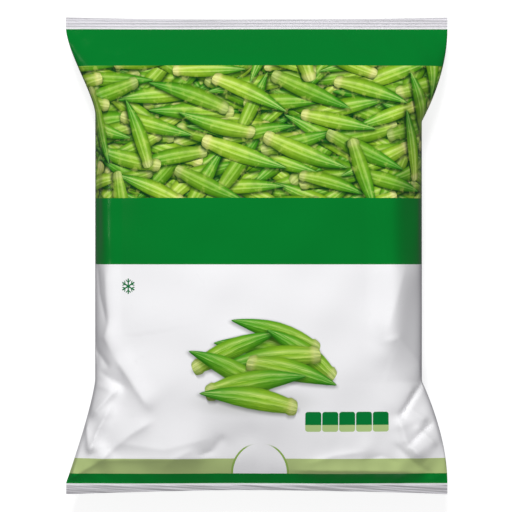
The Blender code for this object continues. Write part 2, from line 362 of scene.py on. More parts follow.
class StudioLook(PropertyGroup):
    field: FloatProperty(
        name="Field",
        description="Width of the picture at the height of the seals",
        default=0.3222,
        unit="LENGTH",
    )
    distance: FloatProperty(
        name="Distance",
        description="Height of the camera above the seals",
        default=2.5,
        unit="LENGTH",
    )
    key_power: FloatProperty(
        name="Key power",
        description="Power of the large light above the top seal",
        default=37.4,
        unit="POWER",
    )
    floor_glow: FloatProperty(
        name="Floor glow",
        description="Strength of the light that the floor itself gives, as a light table does",
        default=0.74,
    )
    sky: FloatProperty(
        name="Sky",
        description="Strength of the even light from all sides",
        default=0.16,
    )


class Pouch:
    """Surface of the filled tube. s is a place across it, from -1 at its left fold to 1 at its right."""

    def __init__(self, sizes):
        self.sizes = sizes
        self.y_seal = sizes.tube_length / 2 - sizes.seal_band
        self.front_bulge = sizes.thickness - sizes.seal_height - sizes.ply
        self.back_bulge = sizes.seal_height - sizes.ply

    def half_width(self, s, y):
        """The waist, and at each end a flare of (1 - d ** p) ** q, where d grows away from the seal."""
        widths = {}
        for side, waist in (("left", self.sizes.waist_left), ("right", self.sizes.waist_right)):
            width = waist + 0 * y
            for end, sign in (("top", 1), ("bottom", -1)):
                reach, p, q = FLARES[side, end]
                d = np.clip((self.y_seal - sign * y) / reach, 0, 1)
                width = width + (self.sizes.tube_width / 2 - waist) * (1 - d**p) ** q
            widths[side] = width
        return np.where(s < 0, widths["left"], widths["right"])

    def dome(self, y):
        """1 less the distance from the middle to the power 2.8: 1 at the middle and 0 at the seals."""
        return 1 - np.clip(abs(y) / self.y_seal, 0, 1) ** ALONG_POWER

    def arch(self, s, power):
        """Superellipse across the tube: (1 - s ** n) ** (1 / n)."""
        return (1 - np.clip(abs(s), 0, 1) ** power) ** (1 / power)

    def seal_wave(self, s, y):
        """A sine across each end seal, which fades with the square of the dome's fall."""
        top = SEAL_WAVES["top"] * np.sin(1.5 * math.pi * s + 0.6)
        bottom = SEAL_WAVES["bottom"] * np.sin(2.0 * math.pi * s - 0.9)
        return (1 - self.dome(y)) ** 2 * np.where(y > 0, top, bottom)

    def broad_creases(self, x, y):
        """Sum of bells: each e to the minus squares of the distance off its line and past its ends."""
        total = 0 * x
        for (x0, y0), (x1, y1), height, half in BROAD_CREASES:
            length = math.hypot(x1 - x0, y1 - y0)
            ux, uy = (x1 - x0) / length, (y1 - y0) / length
            along = (x - x0) * ux + (y - y0) * uy
            off = (y - y0) * ux - (x - x0) * uy
            past = np.clip(np.maximum(-along, along - length), 0, None)
            total += height * np.exp(-((off / half) ** 2) - (past / half) ** 2)
        return total

    def sharp_creases(self, x, y):
        """Sum of folds: each falls off as e to the minus distance, unlike on its two sides."""
        total = 0 * x
        for points, height, left_width, right_width in SHARP_CREASES:
            line = np.array(points) / 1000
            nearest = np.full_like(x, 1.0)
            share, side = np.zeros_like(x), np.zeros_like(x)
            done, whole = 0.0, np.hypot(*np.diff(line, axis=0).T).sum()
            for start, end in zip(line, line[1:]):
                length = np.hypot(*(end - start))
                ux, uy = (end - start) / length
                along = np.clip((x - start[0]) * ux + (y - start[1]) * uy, 0, length)
                distance = np.hypot(x - start[0] - along * ux, y - start[1] - along * uy)
                closer = distance < nearest
                nearest = np.where(closer, distance, nearest)
                share = np.where(closer, (done + along) / whole, share)
                side = np.where(closer, (y - start[1]) * ux - (x - start[0]) * uy, side)
                done += length
            width = np.where(side > 0, left_width, right_width) / 1000
            falloff = np.exp(-(np.hypot(nearest, CREST_RADIUS) - CREST_RADIUS) / width)
            fade = smooth_step(share / CREASE_FADE) * smooth_step((1 - share) / CREASE_FADE)
            total += height / 1000 * falloff * fade
        return total

    def shoulders(self, x, y):
        """Bells along both folds that make the front fuller there, and fade towards the seals."""
        total = 0 * x
        for side, sign in (("left", -1), ("right", 1)):
            inset, height, width, low = SHOULDERS[side]
            inward = self.half_width(np.full_like(x, sign), y) - sign * x
            bell = np.exp(-(((inward - inset) / width) ** 2)) - np.exp(-((inset / width) ** 2))
            total += height * np.clip(bell, 0, None) * smooth_step((y - low) / SHOULDER_FADE)
        return total * smooth_step((self.y_seal - y) / SHOULDER_FADE)

    def puckers(self, x, y, phase):
        """Ripples that run out of both seals: sines across the tube, which spread and die away inwards."""
        total = 0 * x
        for end, height in ((1, PUCKER_HEIGHTS["top"]), (-1, PUCKER_HEIGHTS["bottom"])):
            inward = np.clip(self.y_seal - end * y, 0, None)
            spread = 1 + inward / PUCKER_SPREAD
            rise = smooth_step(inward / PUCKER_RISE) * np.exp(-inward / PUCKER_REACH)
            ripple = (
                np.sin(x / spread * 510 + phase + 2.2 * np.sin(x * 31 + end))
                + 0.7 * np.sin(x / spread * 287 - phase + 1.4 * np.sin(x * 47 - end))
                + 0.6 * np.sin(x / spread * 163 + 2 * phase)
            )
            total += height * rise * ripple
        return total

    def lumps(self, x, y, phase):
        """Low swells where pods press on the film: a sum of crossed sines, 33 to 50 mm long."""
        waves = ((118, 46, 0.9), (-74, 132, 2.1), (163, -95, 4.0), (52, 171, 5.2))
        total = 0 * x
        for kx, ky, start in waves:
            total += np.sin(kx * x + ky * y + start + phase)
        return LUMP_HEIGHT * total + LUMP_LIFT

    def front(self, s, y):
        """Height of the front: the seal's, plus the bulge as dome times arch, plus its creases."""
        x = s * self.half_width(s, y)
        swell = self.dome(y) * self.arch(s, ACROSS_POWER)
        inside = smooth_step(3 * swell)
        detail = self.broad_creases(x, y) * inside
        edge = smooth_step((1 - abs(s)) / FRONT_EDGE)
        detail += (self.sharp_creases(x, y) + self.puckers(x, y, 0.4)) * edge + self.shoulders(x, y)
        detail += self.lumps(x, y, 0.0) * inside
        base = self.sizes.seal_height + self.seal_wave(s, y) + self.sizes.ply
        return base + self.front_bulge * swell + detail

    def back(self, s, y):
        """Height of the back: 0 where the pouch rests, rising to the seals as the square of the rest."""
        x = s * self.half_width(s, y)
        fall = np.clip(self.dome(y) * self.arch(s, BACK_POWER) / BACK_FLAT_FROM, 0, 1)
        rest = (1 - fall) ** 2
        free = smooth_step(4 * rest)
        height = (self.back_bulge + self.seal_wave(s, y)) * rest
        height = height - self.puckers(x, y, 1.9) * free * smooth_step((1 - abs(s)) / BACK_EDGE)
        seam = self.sizes.seam_width
        lift = self.sizes.seam_thickness * smooth_step(2 - abs(x - seam / 2) / (1.5 * seam))
        return np.maximum(height, lift)

    def columns(self, count):
        """Places across the tube, by length along its middle section, closer together at its folds."""
        s = np.sin(np.linspace(-math.pi / 2, math.pi / 2, 4001))
        y = np.zeros_like(s)
        x = s * self.half_width(s, y)
        z = self.front_bulge * self.arch(s, ACROSS_POWER)
        length = np.concatenate([[0], np.cumsum(np.hypot(np.diff(x), np.diff(z)))])
        even = np.linspace(-1, 1, count + 1)
        placed = COLUMN_EVENNESS * even + (1 - COLUMN_EVENNESS) * np.sin(even * math.pi / 2)
        share = 0.5 + 0.5 * placed
        wanted = np.interp(share * length[-1], length, s)
        wanted[count // 2] = 0
        return wanted

    def film_rows(self, s):
        """y of each row on each column: both seal bands, whose cut edges sag, and the body between."""
        steps = np.arange(1, SEAL_ROWS + 1)[:, None] / SEAL_ROWS
        top, bottom = (
            self.y_seal + steps * (self.sizes.seal_band - CUT_EDGE_SAGS[end] * (1 - s**2))
            for end in ("top", "bottom")
        )
        v = np.linspace(-1, 1, self.sizes.rows + 1)
        placed = ROW_EVENNESS * v + (1 - ROW_EVENNESS) * np.sin(math.pi / 2 * v)
        body = with_picture_edges(self.y_seal * placed)
        return np.concatenate([-bottom[::-1], np.repeat(body[:, None], len(s), 1), top])

    def crimp(self, y):
        """Ridges of a seal: a sine of the distance past the seal line, shallower in the bottom seal."""
        past = np.clip((abs(y) - self.y_seal) / self.sizes.seal_band, 0, 1)
        depth = self.sizes.crimp_depth * np.where(y > 0, 1.0, BOTTOM_CRIMP)
        return depth * np.sin(past * CRIMP_RIDGES * 2 * math.pi) * (past > 0)


def mesh_object(name, points, quads, uv=None):
    """A smooth mesh object from an array of points, an array of quads and a place on the print."""
    mesh = bpy.data.meshes.new(name)
    mesh.from_pydata(points, [], quads)
    if uv is not None:
        layer = mesh.uv_layers.new(name="print")
        layer.data.foreach_set("uv", uv.astype(np.float32).ravel())
    mesh.polygons.foreach_set("use_smooth", np.ones(len(quads), bool))
    mesh.update()
    made = bpy.data.objects.new(name, mesh)
    bpy.context.scene.collection.objects.link(made)
    return made


def grid_quads(first, rows, columns, turned=False):
    """Corner numbers of the quads of a grid whose points start at `first`, row by row."""
    row, column = np.mgrid[0:rows, 0:columns]
    corner = first + row * (columns + 1) + column
    quads = np.stack([corner, corner + 1, corner + columns + 2, corner + columns + 1], -1)
    return (quads[..., ::-1] if turned else quads).reshape(-1, 4)


def ring_quads(rings, count, turned=False):
    """Corner numbers of the quads between rings of `count` points each, ring after ring."""
    row, column = np.mgrid[0 : rings - 1, 0:count]
    here, after = row * count + column, row * count + (column + 1) % count
    quads = np.stack([here, after, after + count, here + count], -1)
    return (quads[..., ::-1] if turned else quads).reshape(-1, 4)


def sleeve_quads(rows, columns):
    """Quads of two sheets on one grid, the front first, and of the four edges that join them."""
    step, sheet = columns + 1, (rows + 1) * (columns + 1)
    left = np.arange(rows) * step
    right = left + columns
    low = np.arange(columns)
    high = low + rows * step
    return [
        grid_quads(0, rows, columns),
        grid_quads(sheet, rows, columns, turned=True),
        np.stack([left + sheet, left, left + step, left + sheet + step], -1),
        np.stack([right, right + sheet, right + sheet + step, right + step], -1),
        np.stack([low + sheet, low + sheet + 1, low + 1, low], -1),
        np.stack([high, high + 1, high + sheet + 1, high + sheet], -1),
    ]


def along_curve(x, z, start):
    """Distance along each row of a grid from one of its columns."""
    step = np.hypot(np.diff(x, axis=1), np.diff(z, axis=1))
    length = np.concatenate([np.zeros((len(x), 1)), np.cumsum(step, axis=1)], axis=1)
    return length - length[:, start : start + 1]


def film_skin(pouch):
    """The whole film: front and back sheets on one grid, joined at the folds and at the cut edges.

    The print's u is the distance round the tube from the middle of the front, and its v is y.
    """
    s_line = pouch.columns(pouch.sizes.columns)
    y = pouch.film_rows(s_line)
    s = np.repeat(s_line[None], len(y), 0)
    flat_y = np.clip(y, -pouch.y_seal, pouch.y_seal)
    x = s * pouch.half_width(s, flat_y)
    front = pouch.front(s, flat_y) + pouch.crimp(y)
    back = pouch.back(s, flat_y) + pouch.crimp(y)
    points = np.stack([np.stack([x, y, z], -1) for z in (front, back)]).reshape(-1, 3)
    parts = sleeve_quads(len(y) - 1, len(s_line) - 1)
    quads = np.concatenate(parts)

    middle = pouch.sizes.columns // 2
    swell = pouch.front_bulge * pouch.dome(flat_y) * pouch.arch(s, ACROSS_POWER)
    u_front = along_curve(x, swell, middle)
    rest = pouch.back_bulge * (1 - np.clip(pouch.dome(flat_y) * pouch.arch(s, BACK_POWER), 0, 1))
    u_back = along_curve(x, rest, middle)
    u_right = u_front[:, -1:] + u_back[:, -1:] - u_back
    u_left = u_front[:, :1] + u_back[:, :1] - u_back
    u = np.concatenate([u_front.ravel(), np.where(s < 0, u_left, u_right).ravel()])
    v = np.concatenate([y.ravel(), y.ravel()])
    corner_u, corner_v = u[quads], v[quads]

    back_part = slice(len(parts[0]), len(parts[0]) + len(parts[1]))
    back_quads = parts[1] - y.size
    on_left = back_quads.min(1) % len(s_line) < middle
    corner_u[back_part] = np.where(on_left[:, None], u_left.ravel()[back_quads], corner_u[back_part])
    return points, quads, np.stack([corner_u, corner_v], -1)


def seam_strip(pouch):
    """The lap seam: a flat oval profile carried down the back, its free edge slightly wavy."""
    width, thick = pouch.sizes.seam_width, pouch.sizes.seam_thickness
    turn = np.linspace(0, 2 * math.pi, SEAM_POINTS + 1)[:-1][None]
    y = with_picture_edges(np.linspace(-pouch.y_seal, pouch.y_seal, SEAM_ROWS))[:, None]
    across = np.sign(np.cos(turn)) * abs(np.cos(turn)) ** SEAM_SIDE_POWER
    up = np.sign(np.sin(turn)) * abs(np.sin(turn)) ** SEAM_TOP_POWER
    wave = sum(height * np.sin(y * turns + start) for height, turns, start in SEAM_WAVES)
    x = width / 2 + across * (width / 2 - 0.0003) + np.clip(across, 0, 1) * wave
    surface = pouch.back(x / pouch.half_width(x, y), y + 0 * x)
    z = surface - thick * 0.5 + up * thick * 0.48
    points = np.stack([x, y + 0 * x, z], -1).reshape(-1, 3)
    quads = ring_quads(SEAM_ROWS, SEAM_POINTS)
    last = (SEAM_ROWS - 1) * SEAM_POINTS
    ends = [list(range(SEAM_POINTS))[::-1], list(range(last, last + SEAM_POINTS))]
    u = pouch.sizes.tube_width + x - width / 2
    uv = np.stack([u.ravel()[quads], points[:, 1][quads]], -1).reshape(-1, 2)
    end_uv = np.array([(u.ravel()[k], points[k, 1]) for end in ends for k in end])
    return points, quads.tolist() + ends, np.concatenate([uv, end_uv])


def coved_floor():
    """A round floor whose rim curves up into a wall: its profile is carried once round the middle."""
    bend = np.linspace(0, math.pi / 2, 9)
    rim = FLOOR_RADIUS + COVE_RADIUS
    out = np.concatenate([[0.5, 1.5, 2.5], FLOOR_RADIUS + COVE_RADIUS * np.sin(bend), [rim]])[:, None]
    up = np.concatenate([[0, 0, 0], COVE_RADIUS * (1 - np.cos(bend)), [WALL_TOP]])[:, None]
    turn = np.linspace(0, 2 * math.pi, 97)[:-1][None]
    count = turn.shape[1]
    points = np.stack([out * np.cos(turn), out * np.sin(turn), up + 0 * turn], -1).reshape(-1, 3)
    quads = ring_quads(len(out), count, turned=True)
    return points, quads.tolist() + [list(range(count))]


class Wire:
    """A shader socket that takes arithmetic: each sign adds the Math node that works it out."""

    def __init__(self, bench, socket):
        self.bench, self.socket = bench, socket

    def __add__(self, other):
        return self.bench.math("ADD", self, other)

    def __sub__(self, other):
        return self.bench.math("SUBTRACT", self, other)

    def __rsub__(self, other):
        return self.bench.math("SUBTRACT", other, self)

    def __mul__(self, other):
        return self.bench.math("MULTIPLY", self, other)

    def __truediv__(self, other):
        return self.bench.math("DIVIDE", self, other)

    def __pow__(self, other):
        return self.bench.math("POWER", self, other)

    def __abs__(self):
        return self.bench.math("ABSOLUTE", self)

    def __gt__(self, other):
        return self.bench.math("GREATER_THAN", self, other)

    def __lt__(self, other):
        return self.bench.math("LESS_THAN", self, other)

    __radd__ = __add__
    __rmul__ = __mul__


class Bench:
    """A node tree being made, with one method that adds any node."""

    def __init__(self, tree):
        self.tree = tree
        self.tree.nodes.clear()

    def node(self, kind, settings=(), values=(), output=0):
        """Adds a node, sets it, then fills its sockets by number or name with values or wires."""
        made = self.tree.nodes.new(kind)
        for name, value in dict(settings).items():
            if name == "stops":
                for number, (place, colour) in enumerate(value):
                    new = number >= len(made.color_ramp.elements)
                    stop = made.color_ramp.elements.new(place) if new else made.color_ramp.elements[number]
                    stop.position, stop.color = place, colour
            else:
                setattr(made, name, value)
        pairs = values.items() if isinstance(values, dict) else enumerate(values)
        for key, value in pairs:
            if isinstance(value, Wire):
                self.tree.links.new(value.socket, made.inputs[key])
            else:
                made.inputs[key].default_value = value
        return Wire(self, made.outputs[output]) if made.outputs else made

    def math(self, operation, *values):
        return self.node("ShaderNodeMath", {"operation": operation}, values)

    def most(self, a, b):
        return self.math("MAXIMUM", a, b)

    def step(self, value, start, end):
        """0 before start and 1 after end, with a smooth rise between. It falls if end is the lower."""
        settings = {"interpolation_type": "SMOOTHSTEP", "clamp": True}
        low, high = min(start, end), max(start, end)
        values = {"Value": value, "From Min": low, "From Max": high}
        if end < start:
            values.update({"To Min": 1.0, "To Max": 0.0})
        return self.node("ShaderNodeMapRange", settings, values)

    def between(self, value, low, high, soft=0.12):
        return self.step(value, low - soft, low + soft) * self.step(value, high + soft, high - soft)

    def blend(self, share, a, b, kind="MIX"):
        """a where the share is 0 and b where it is 1, as colours."""
        settings = {"data_type": "RGBA", "blend_type": kind, "clamp_factor": True}
        colours = [c if isinstance(c, Wire) else (*c, 1.0) for c in (a, b)]
        values = {0: share, 6: colours[0], 7: colours[1]}
        return self.node("ShaderNodeMix", settings, values, output=2)

    def darker(self, share, colour):
        """A colour with a share of it taken away."""
        return self.blend(share, colour, (0.0, 0.0, 0.0))

    def ramp(self, place, stops):
        """The colour and the alpha that a table of stops gives at a place from 0 to 1."""
        owner = self.node("ShaderNodeValToRGB", {"stops": stops}, (place,)).socket.node
        return [Wire(self, socket) for socket in owner.outputs]

    def split(self, vector, kind="ShaderNodeSeparateXYZ"):
        owner = self.node(kind, (), (vector,)).socket.node
        return [Wire(self, socket) for socket in owner.outputs]

    def dots(self, place):
        """Three random numbers, 0 to 1, for each value of the place."""
        values = {"W": place}
        noise = self.node("ShaderNodeTexWhiteNoise", {"noise_dimensions": "1D"}, values, "Color")
        return self.split(noise, "ShaderNodeSeparateColor")

    def noise(self, vector, scale, detail=2.0, roughness=0.5):
        values = {"Vector": vector, "Scale": scale, "Detail": detail, "Roughness": roughness}
        return self.node("ShaderNodeTexNoise", {"noise_dimensions": "3D"}, values)

    def finish(self, **surface):
        """Principled shader with the given sockets, and the output."""
        names = {name.replace("_", " "): value for name, value in surface.items()}
        shader = self.node("ShaderNodeBsdfPrincipled", (), names)
        self.node("ShaderNodeOutputMaterial", (), {"Surface": shader})


def new_material(name):
    """A material and the bench that its nodes are made on."""
    material = bpy.data.materials.new(name)
    material.use_nodes = True
    return material, Bench(material.node_tree)


def colour_group(name, inputs, draw):
    """A node group: its inputs are numbers and last a colour, and what it draws is its one output."""
    tree = bpy.data.node_groups.new(name, "ShaderNodeTree")
    for socket in inputs:
        kind = "NodeSocketColor" if socket == inputs[-1] else "NodeSocketFloat"
        tree.interface.new_socket(socket, in_out="INPUT", socket_type=kind)
    tree.interface.new_socket("Colour", in_out="OUTPUT", socket_type="NodeSocketColor")
    bench = Bench(tree)
    taken = tree.nodes.new("NodeGroupInput")
    drawn = draw(bench, *(Wire(bench, taken.outputs[socket]) for socket in inputs))
    bench.node("NodeGroupOutput", (), (drawn,))
    return tree


# A pod along its length, from stem 0 to tip 1: place, share of its half width, colour
POD_ALONG = [
    (0.000, 0.10, (212, 220, 120)),
    (0.010, 0.52, (228, 232, 136)),
    (0.026, 0.68, (236, 238, 144)),
    (0.060, 0.78, (246, 246, 158)),
    (0.080, 0.82, (240, 242, 138)),
    (0.112, 0.72, (206, 232, 94)),
    (0.160, 0.80, (190, 228, 74)),
    (0.250, 0.92, (180, 224, 58)),
    (0.370, 1.00, (174, 222, 50)),
    (0.500, 0.99, (158, 214, 46)),
    (0.640, 0.85, (136, 204, 42)),
    (0.780, 0.60, (106, 190, 38)),
    (0.900, 0.33, (78, 172, 34)),
    (0.970, 0.14, (64, 158, 32)),
    (1.000, 0.02, (56, 146, 30)),
]

# A pod across its width, from its lower edge 0 to its upper 1: place, light that is left, shine
POD_ACROSS = [
    (0.000, 0.30, 0.00),
    (0.120, 0.48, 0.00),
    (0.200, 0.62, 0.03),
    (0.270, 0.56, 0.00),
    (0.320, 0.72, 0.08),
    (0.360, 0.98, 0.40),
    (0.400, 0.96, 0.20),
    (0.470, 0.90, 0.05),
    (0.510, 0.76, 0.00),
    (0.560, 0.94, 0.20),
    (0.640, 1.00, 0.36),
    (0.690, 1.00, 0.62),
    (0.730, 0.96, 0.26),
    (0.800, 0.82, 0.04),
    (0.900, 0.66, 0.00),
    (1.000, 0.42, 0.00),
]

# How fast red, green and blue fade in a printed pod's shade
SHADE_POWERS = (0.95, 0.82, 1.15)


def draw_pod(bench, t, off, half_width, tone, side, turn, held, cast, dark, below):
    """A plain okra pod over what lies below, with the shadow it casts. t is -1 at its stem, 1 at its tip.

    Its half width and its colour follow one table along it, and its shade and shine follow another
    across it: three faces with a pale ridge between each two, the lower face the darkest.
    """
    stops = [(place, (*ink(*colour), width)) for place, width, colour in POD_ALONG]
    along, width = bench.ramp(t * 0.5 + 0.5, stops)
    half = width * half_width + 0.02
    q = off / half
    stops = [(place, (*(left**p for p in SHADE_POWERS), shine)) for place, left, shine in POD_ACROSS]
    across, shine = bench.ramp(q * side * 0.5 + turn, stops)
    spread = abs(off + side * 0.9) - half
    shadow = bench.step(spread, 2.4, -0.8) * bench.step(abs(t), 1.09, 0.95) * held * cast
    inside = bench.step(abs(q), 1.05, 0.93) * bench.step(abs(t), 1.0, 0.99) * held
    green = bench.blend(tone, bench.blend(0.55, along, ink(34, 150, 16)), along)
    green = bench.blend(1.0, green, across, "MULTIPLY")
    pod = bench.blend(shine * (tone * 0.6 + 0.4), green, ink(244, 255, 166))
    return bench.blend(inside, bench.blend(shadow, below, dark), pod)


# The heap in the picture band. Each layer is turned by an angle, and holds one pod in some of its
# cells: angle in degrees, share of cells that hold one.
HEAP_LAYERS = [
    (72, 1.0),
    (-38, 0.95),
    (24, 0.95),
    (-12, 0.9),
    (38, 0.8),
    (-26, 0.75),
    (6, 0.75),
    (58, 0.30),
    (16, 0.6),
    (-18, 0.55),
    (-72, 0.16),
]
CELL_LENGTH = 58.0
CELL_WIDTH = 12.6
POD_HALF_LENGTH = 28.0
POD_HALF_WIDTH = 5.7


def heap_layer(bench, x, y, cosine, sine, side, seed, share, below):
    """One layer of the heap: space is turned and cut into cells, and random cells hold a pod each."""
    along = x * cosine + y * sine
    across = (y * cosine - x * sine + seed * 3.7) / CELL_WIDTH
    row = bench.math("FLOOR", across)
    place = along / CELL_LENGTH + row * 0.381 + seed * 0.23
    cell = bench.math("FLOOR", place)
    number = cell * 7.31 + row * 113.7 + seed * 1931.3
    tilt, facing, tone = bench.dots(number)
    size, there, bend = bench.dots(number + 0.37)
    a = (place - cell - 0.5) * CELL_LENGTH
    b = (across - row - 0.5) * CELL_WIDTH
    tilt = (tilt - 0.5) * 0.30
    facing = (facing > 0.5) * 2 - 1
    size = size * 0.24 + 0.76
    t = (a + b * tilt) * facing / (size * POD_HALF_LENGTH)
    off = b - a * tilt + (bend - 0.5) * 4.0 * (t * t - 0.4)
    turn = (bend - 0.5) * 0.14 + 0.5
    held = there < share
    dark = ink(2, 56, 18)
    return draw_pod(bench, t, off, size * POD_HALF_WIDTH, tone, side, turn, held, 0.90, dark, below)


# The small pile low on the front, in mm on the film: middle, angle of the tip, half length, half
# width and tone of each pod, the lowest pod first
PILE_PODS = [
    (4, -57, 172, 31, 7.0, 0.00),
    (12, -48, 161, 29, 6.4, 0.05),
    (-14, -58, 24, 29, 6.4, 0.20),
    (28, -60, 144, 26, 6.4, 0.08),
    (8, -64, 187, 32, 7.0, 0.32),
    (-17, -71, 152, 28, 6.6, 0.02),
    (22, -72, -14, 29, 6.8, 0.25),
    (-1, -79, 10, 32, 7.2, 0.10),
    (-5, -89, 171, 31, 7.0, 0.42),
]


def pile_pod(bench, x, y, cosine, sine, side, at_x, at_y, half_length, half_width, tone, below):
    """One pod of the pile, slightly bent, with fine fibres along it."""
    dx, dy = x - at_x, y - at_y
    t = (dx * cosine + dy * sine) / half_length
    off = dy * cosine - dx * sine + (t * t - 0.4) * side * 2.2
    along_it = bench.node("ShaderNodeCombineXYZ", (), (t * 2.4, off * 2.3, at_x))
    fibres = bench.noise(along_it, 1.0, 3.0, 0.7) - 0.5
    turn = tone * 0.2 + fibres * 0.24 + 0.4
    tone = tone + fibres * 4.0 + 0.10
    dark = ink(24, 44, 20)
    return draw_pod(bench, t, off, half_width, tone, side, turn, 1.0, 0.5, dark, below)


def snow_mark(bench, x, y):
    """A plain six-armed snow crystal: one arm and its twig, folded round by sixths of a turn."""
    dx, dy = x - SNOW_PLACE[0], y - SNOW_PLACE[1]
    radius = bench.math("SQRT", dx * dx + dy * dy)
    turn = bench.math("ARCTAN2", dx, dy)
    sixth = math.pi / 3
    fold = abs(bench.math("WRAP", turn, sixth / 2, -sixth / 2))
    along = radius * bench.math("COSINE", fold)
    off = radius * bench.math("SINE", fold)
    arm = bench.step(off, 0.52, 0.38) * bench.step(along, 4.9, 4.7)
    twig_off = abs((along - 2.5) * 0.77 - off * 0.64)
    twig = bench.step(twig_off, 0.40, 0.26) * bench.step(off, 1.75, 1.6)
    return bench.most(arm, twig)


def rounded_box(bench, x, y, half_x, half_y, corner):
    """1 inside a box with round corners whose middle is at 0."""
    out_x = bench.most(abs(x) - (half_x - corner), 0.0)
    out_y = bench.most(abs(y) - (half_y - corner), 0.0)
    distance = bench.math("SQRT", out_x * out_x + out_y * out_y)
    return bench.step(distance, corner + 0.12, corner - 0.12)


def tile_marks(bench, x, y, colour):
    """A row of bare tiles, dark green above and light green below."""
    (first, low), (last, high) = TILES_FROM, TILES_TO
    pitch = (last - first) / TILE_COUNT
    place = (x - first) / pitch
    tile_x = (bench.math("FRACT", place) - 0.5) * pitch
    tile = rounded_box(bench, tile_x, y - (low + high) / 2, pitch / 2 - 0.28, (high - low) / 2, 1.7)
    tile = tile * bench.between(x, first, last, 0.05)
    above_foot = bench.step(y, low + TILE_FOOT - 0.1, low + TILE_FOOT + 0.1)
    return bench.blend(tile, colour, bench.blend(above_foot, ink(184, 210, 138), ink(0, 125, 54)))


def half_round_tab(bench, x, y, colour, inks):
    """A bare half-round field that stands on the green foot band, with a slim arc round it."""
    across = (x - TAB_MIDDLE) / TAB_HALF_WIDTH
    up = (y - LEAF_TO_GREEN) / TAB_HEIGHT
    reach = bench.math("SQRT", across * across + up * up)
    above = bench.step(y, LEAF_TO_GREEN - 0.1, LEAF_TO_GREEN + 0.1)
    arc_width = 0.985 + abs(across) * 0.055
    arc = (reach < arc_width) * (reach > 0.965) * above
    arc = arc * bench.step(up, 0.98, 0.80)
    field = bench.step(reach, 1.0, 0.985) * above
    colour = bench.blend(field, colour, inks.white)
    return bench.blend(arc, colour, ink(150, 184, 92))


def satin_film(bench, place, colour):
    """Finishes a film material: a satin skin with soft fine unevenness."""
    grain = bench.noise(place, 260.0, 3.0, 0.6)
    waves = bench.noise(place, 38.0, 2.0)
    values = {"Strength": 0.10, "Distance": 0.0012, "Height": waves + grain * 0.12}
    bench.finish(
        Base_Color=colour,
        Roughness=0.24 + waves * 0.10,
        Specular_IOR_Level=0.22,
        Normal=bench.node("ShaderNodeBump", (), values, "Normal"),
    )


def film_place(bench):
    """The film's own map, and its u and v in millimetres."""
    place = bench.node("ShaderNodeUVMap", {"uv_map": "print"})
    u, v, _ = bench.split(place)
    return place, u * 1000, v * 1000


def heap_material():
    """The picture band: a dark ground with the layers of the heap over it."""
    material, bench = new_material("film_heap_print")
    place, x, y = film_place(bench)
    sockets = ("X", "Y", "Cosine", "Sine", "Side", "Seed", "Share", "Below")
    layer = {"node_tree": colour_group("heap_layer", sockets, heap_layer)}
    heap = bench.blend(bench.noise(place, 90.0), ink(8, 62, 20), ink(46, 114, 34))
    for seed, (angle, share) in enumerate(HEAP_LAYERS, 1):
        c, s = math.cos(math.radians(angle)), math.sin(math.radians(angle))
        heap = bench.node("ShaderNodeGroup", layer, (x, y, c, s, 1.0, seed, share, heap))
    mottle = bench.noise(place, 190.0, 3.0, 0.6)
    heap = bench.blend(bench.step(mottle, 0.50, 0.32) * 0.18, heap, ink(24, 92, 12))
    heap = bench.blend(bench.step(mottle, 0.52, 0.70) * 0.26, heap, ink(226, 242, 118))
    satin_film(bench, place, heap)
    return material


def pile_print(bench, x, y, ground):
    """The small pile of pods and its soft shadow on the ground, an oval that fades from its middle."""
    (shade_x, shade_y), (reach_x, reach_y) = PILE_SHADE_MIDDLE, PILE_SHADE_REACH
    foot = bench.math("SQRT", ((x - shade_x) / reach_x) ** 2 + ((y - shade_y) / reach_y) ** 2)
    drawn = bench.blend(bench.step(foot, 1.0, 0.1) * 0.45, ground, ink(140, 144, 130))
    sockets = ("X", "Y", "Cosine", "Sine", "Side", "At X", "At Y", "Half Length", "Half Width")
    pod = {"node_tree": colour_group("pile_pod", (*sockets, "Tone", "Below"), pile_pod)}
    for at_x, at_y, angle, half_length, half_width, tone in PILE_PODS:
        c, s = math.cos(math.radians(angle)), math.sin(math.radians(angle))
        side = 1.0 if c > 0 else -1.0
        values = (x, y, c, s, side, at_x, at_y, half_length, half_width, tone, drawn)
        drawn = bench.node("ShaderNodeGroup", pod, values)
    return drawn


def seal_film_painted_shade(bench, x, y, past, inks):
    """Bare grey film with long stripes of painted shade, darker and slanting in the bottom seal; more
    painted shade over the whole bottom seal; and a pale strip next to the print.
    """
    low_seal = y < 0
    stretched = bench.node("ShaderNodeCombineXYZ", (), (x * 0.014, y * 0.9 + x * low_seal * 0.07, 0.0))
    # Long stripes of painted shade, standing in for the light and shade of the seal film's crinkles
    painted_shade_streaks = bench.step(bench.noise(stretched, 1.0, 3.0), 0.60, 0.38)
    grey = bench.darker(painted_shade_streaks * (low_seal * 0.30 + 0.16), inks.seal_grey)
    # Painted shade that makes the whole bottom seal darker
    grey = bench.darker(low_seal * 0.20, grey)
    return bench.blend(bench.step(past, 1.3, 0.9) * 0.7, grey, inks.white)


def band_material(inks):
    """The rest of the film: plain bands, the pile and the small marks, and the bare end seals with their
    painted shade.
    """
    material, bench = new_material("film_band_print")
    place, x, y = film_place(bench)
    white = pile_print(bench, x, y, inks.white)
    white = bench.blend(snow_mark(bench, x, y), white, ink(0, 112, 56))
    white = tile_marks(bench, x, y, white)

    def up_to(height, below, above):
        return bench.blend(bench.step(y, height - 0.1, height + 0.1), below, above)

    colour = up_to(WHITE_TO_LEAF, inks.leaf_green, white)
    colour = half_round_tab(bench, x, y, colour, inks)
    colour = up_to(LEAF_TO_GREEN, inks.band_green, colour)
    colour = up_to(GREEN_TO_WHITE, colour, inks.band_green)
    past = bench.most(y - PRINT_TOP, PRINT_BOTTOM - y)
    # The end seals' bare film, with its painted shade
    bare = seal_film_painted_shade(bench, x, y, past, inks)
    satin_film(bench, place, bench.blend(bench.step(past, -0.1, 0.1), colour, bare))
    return material


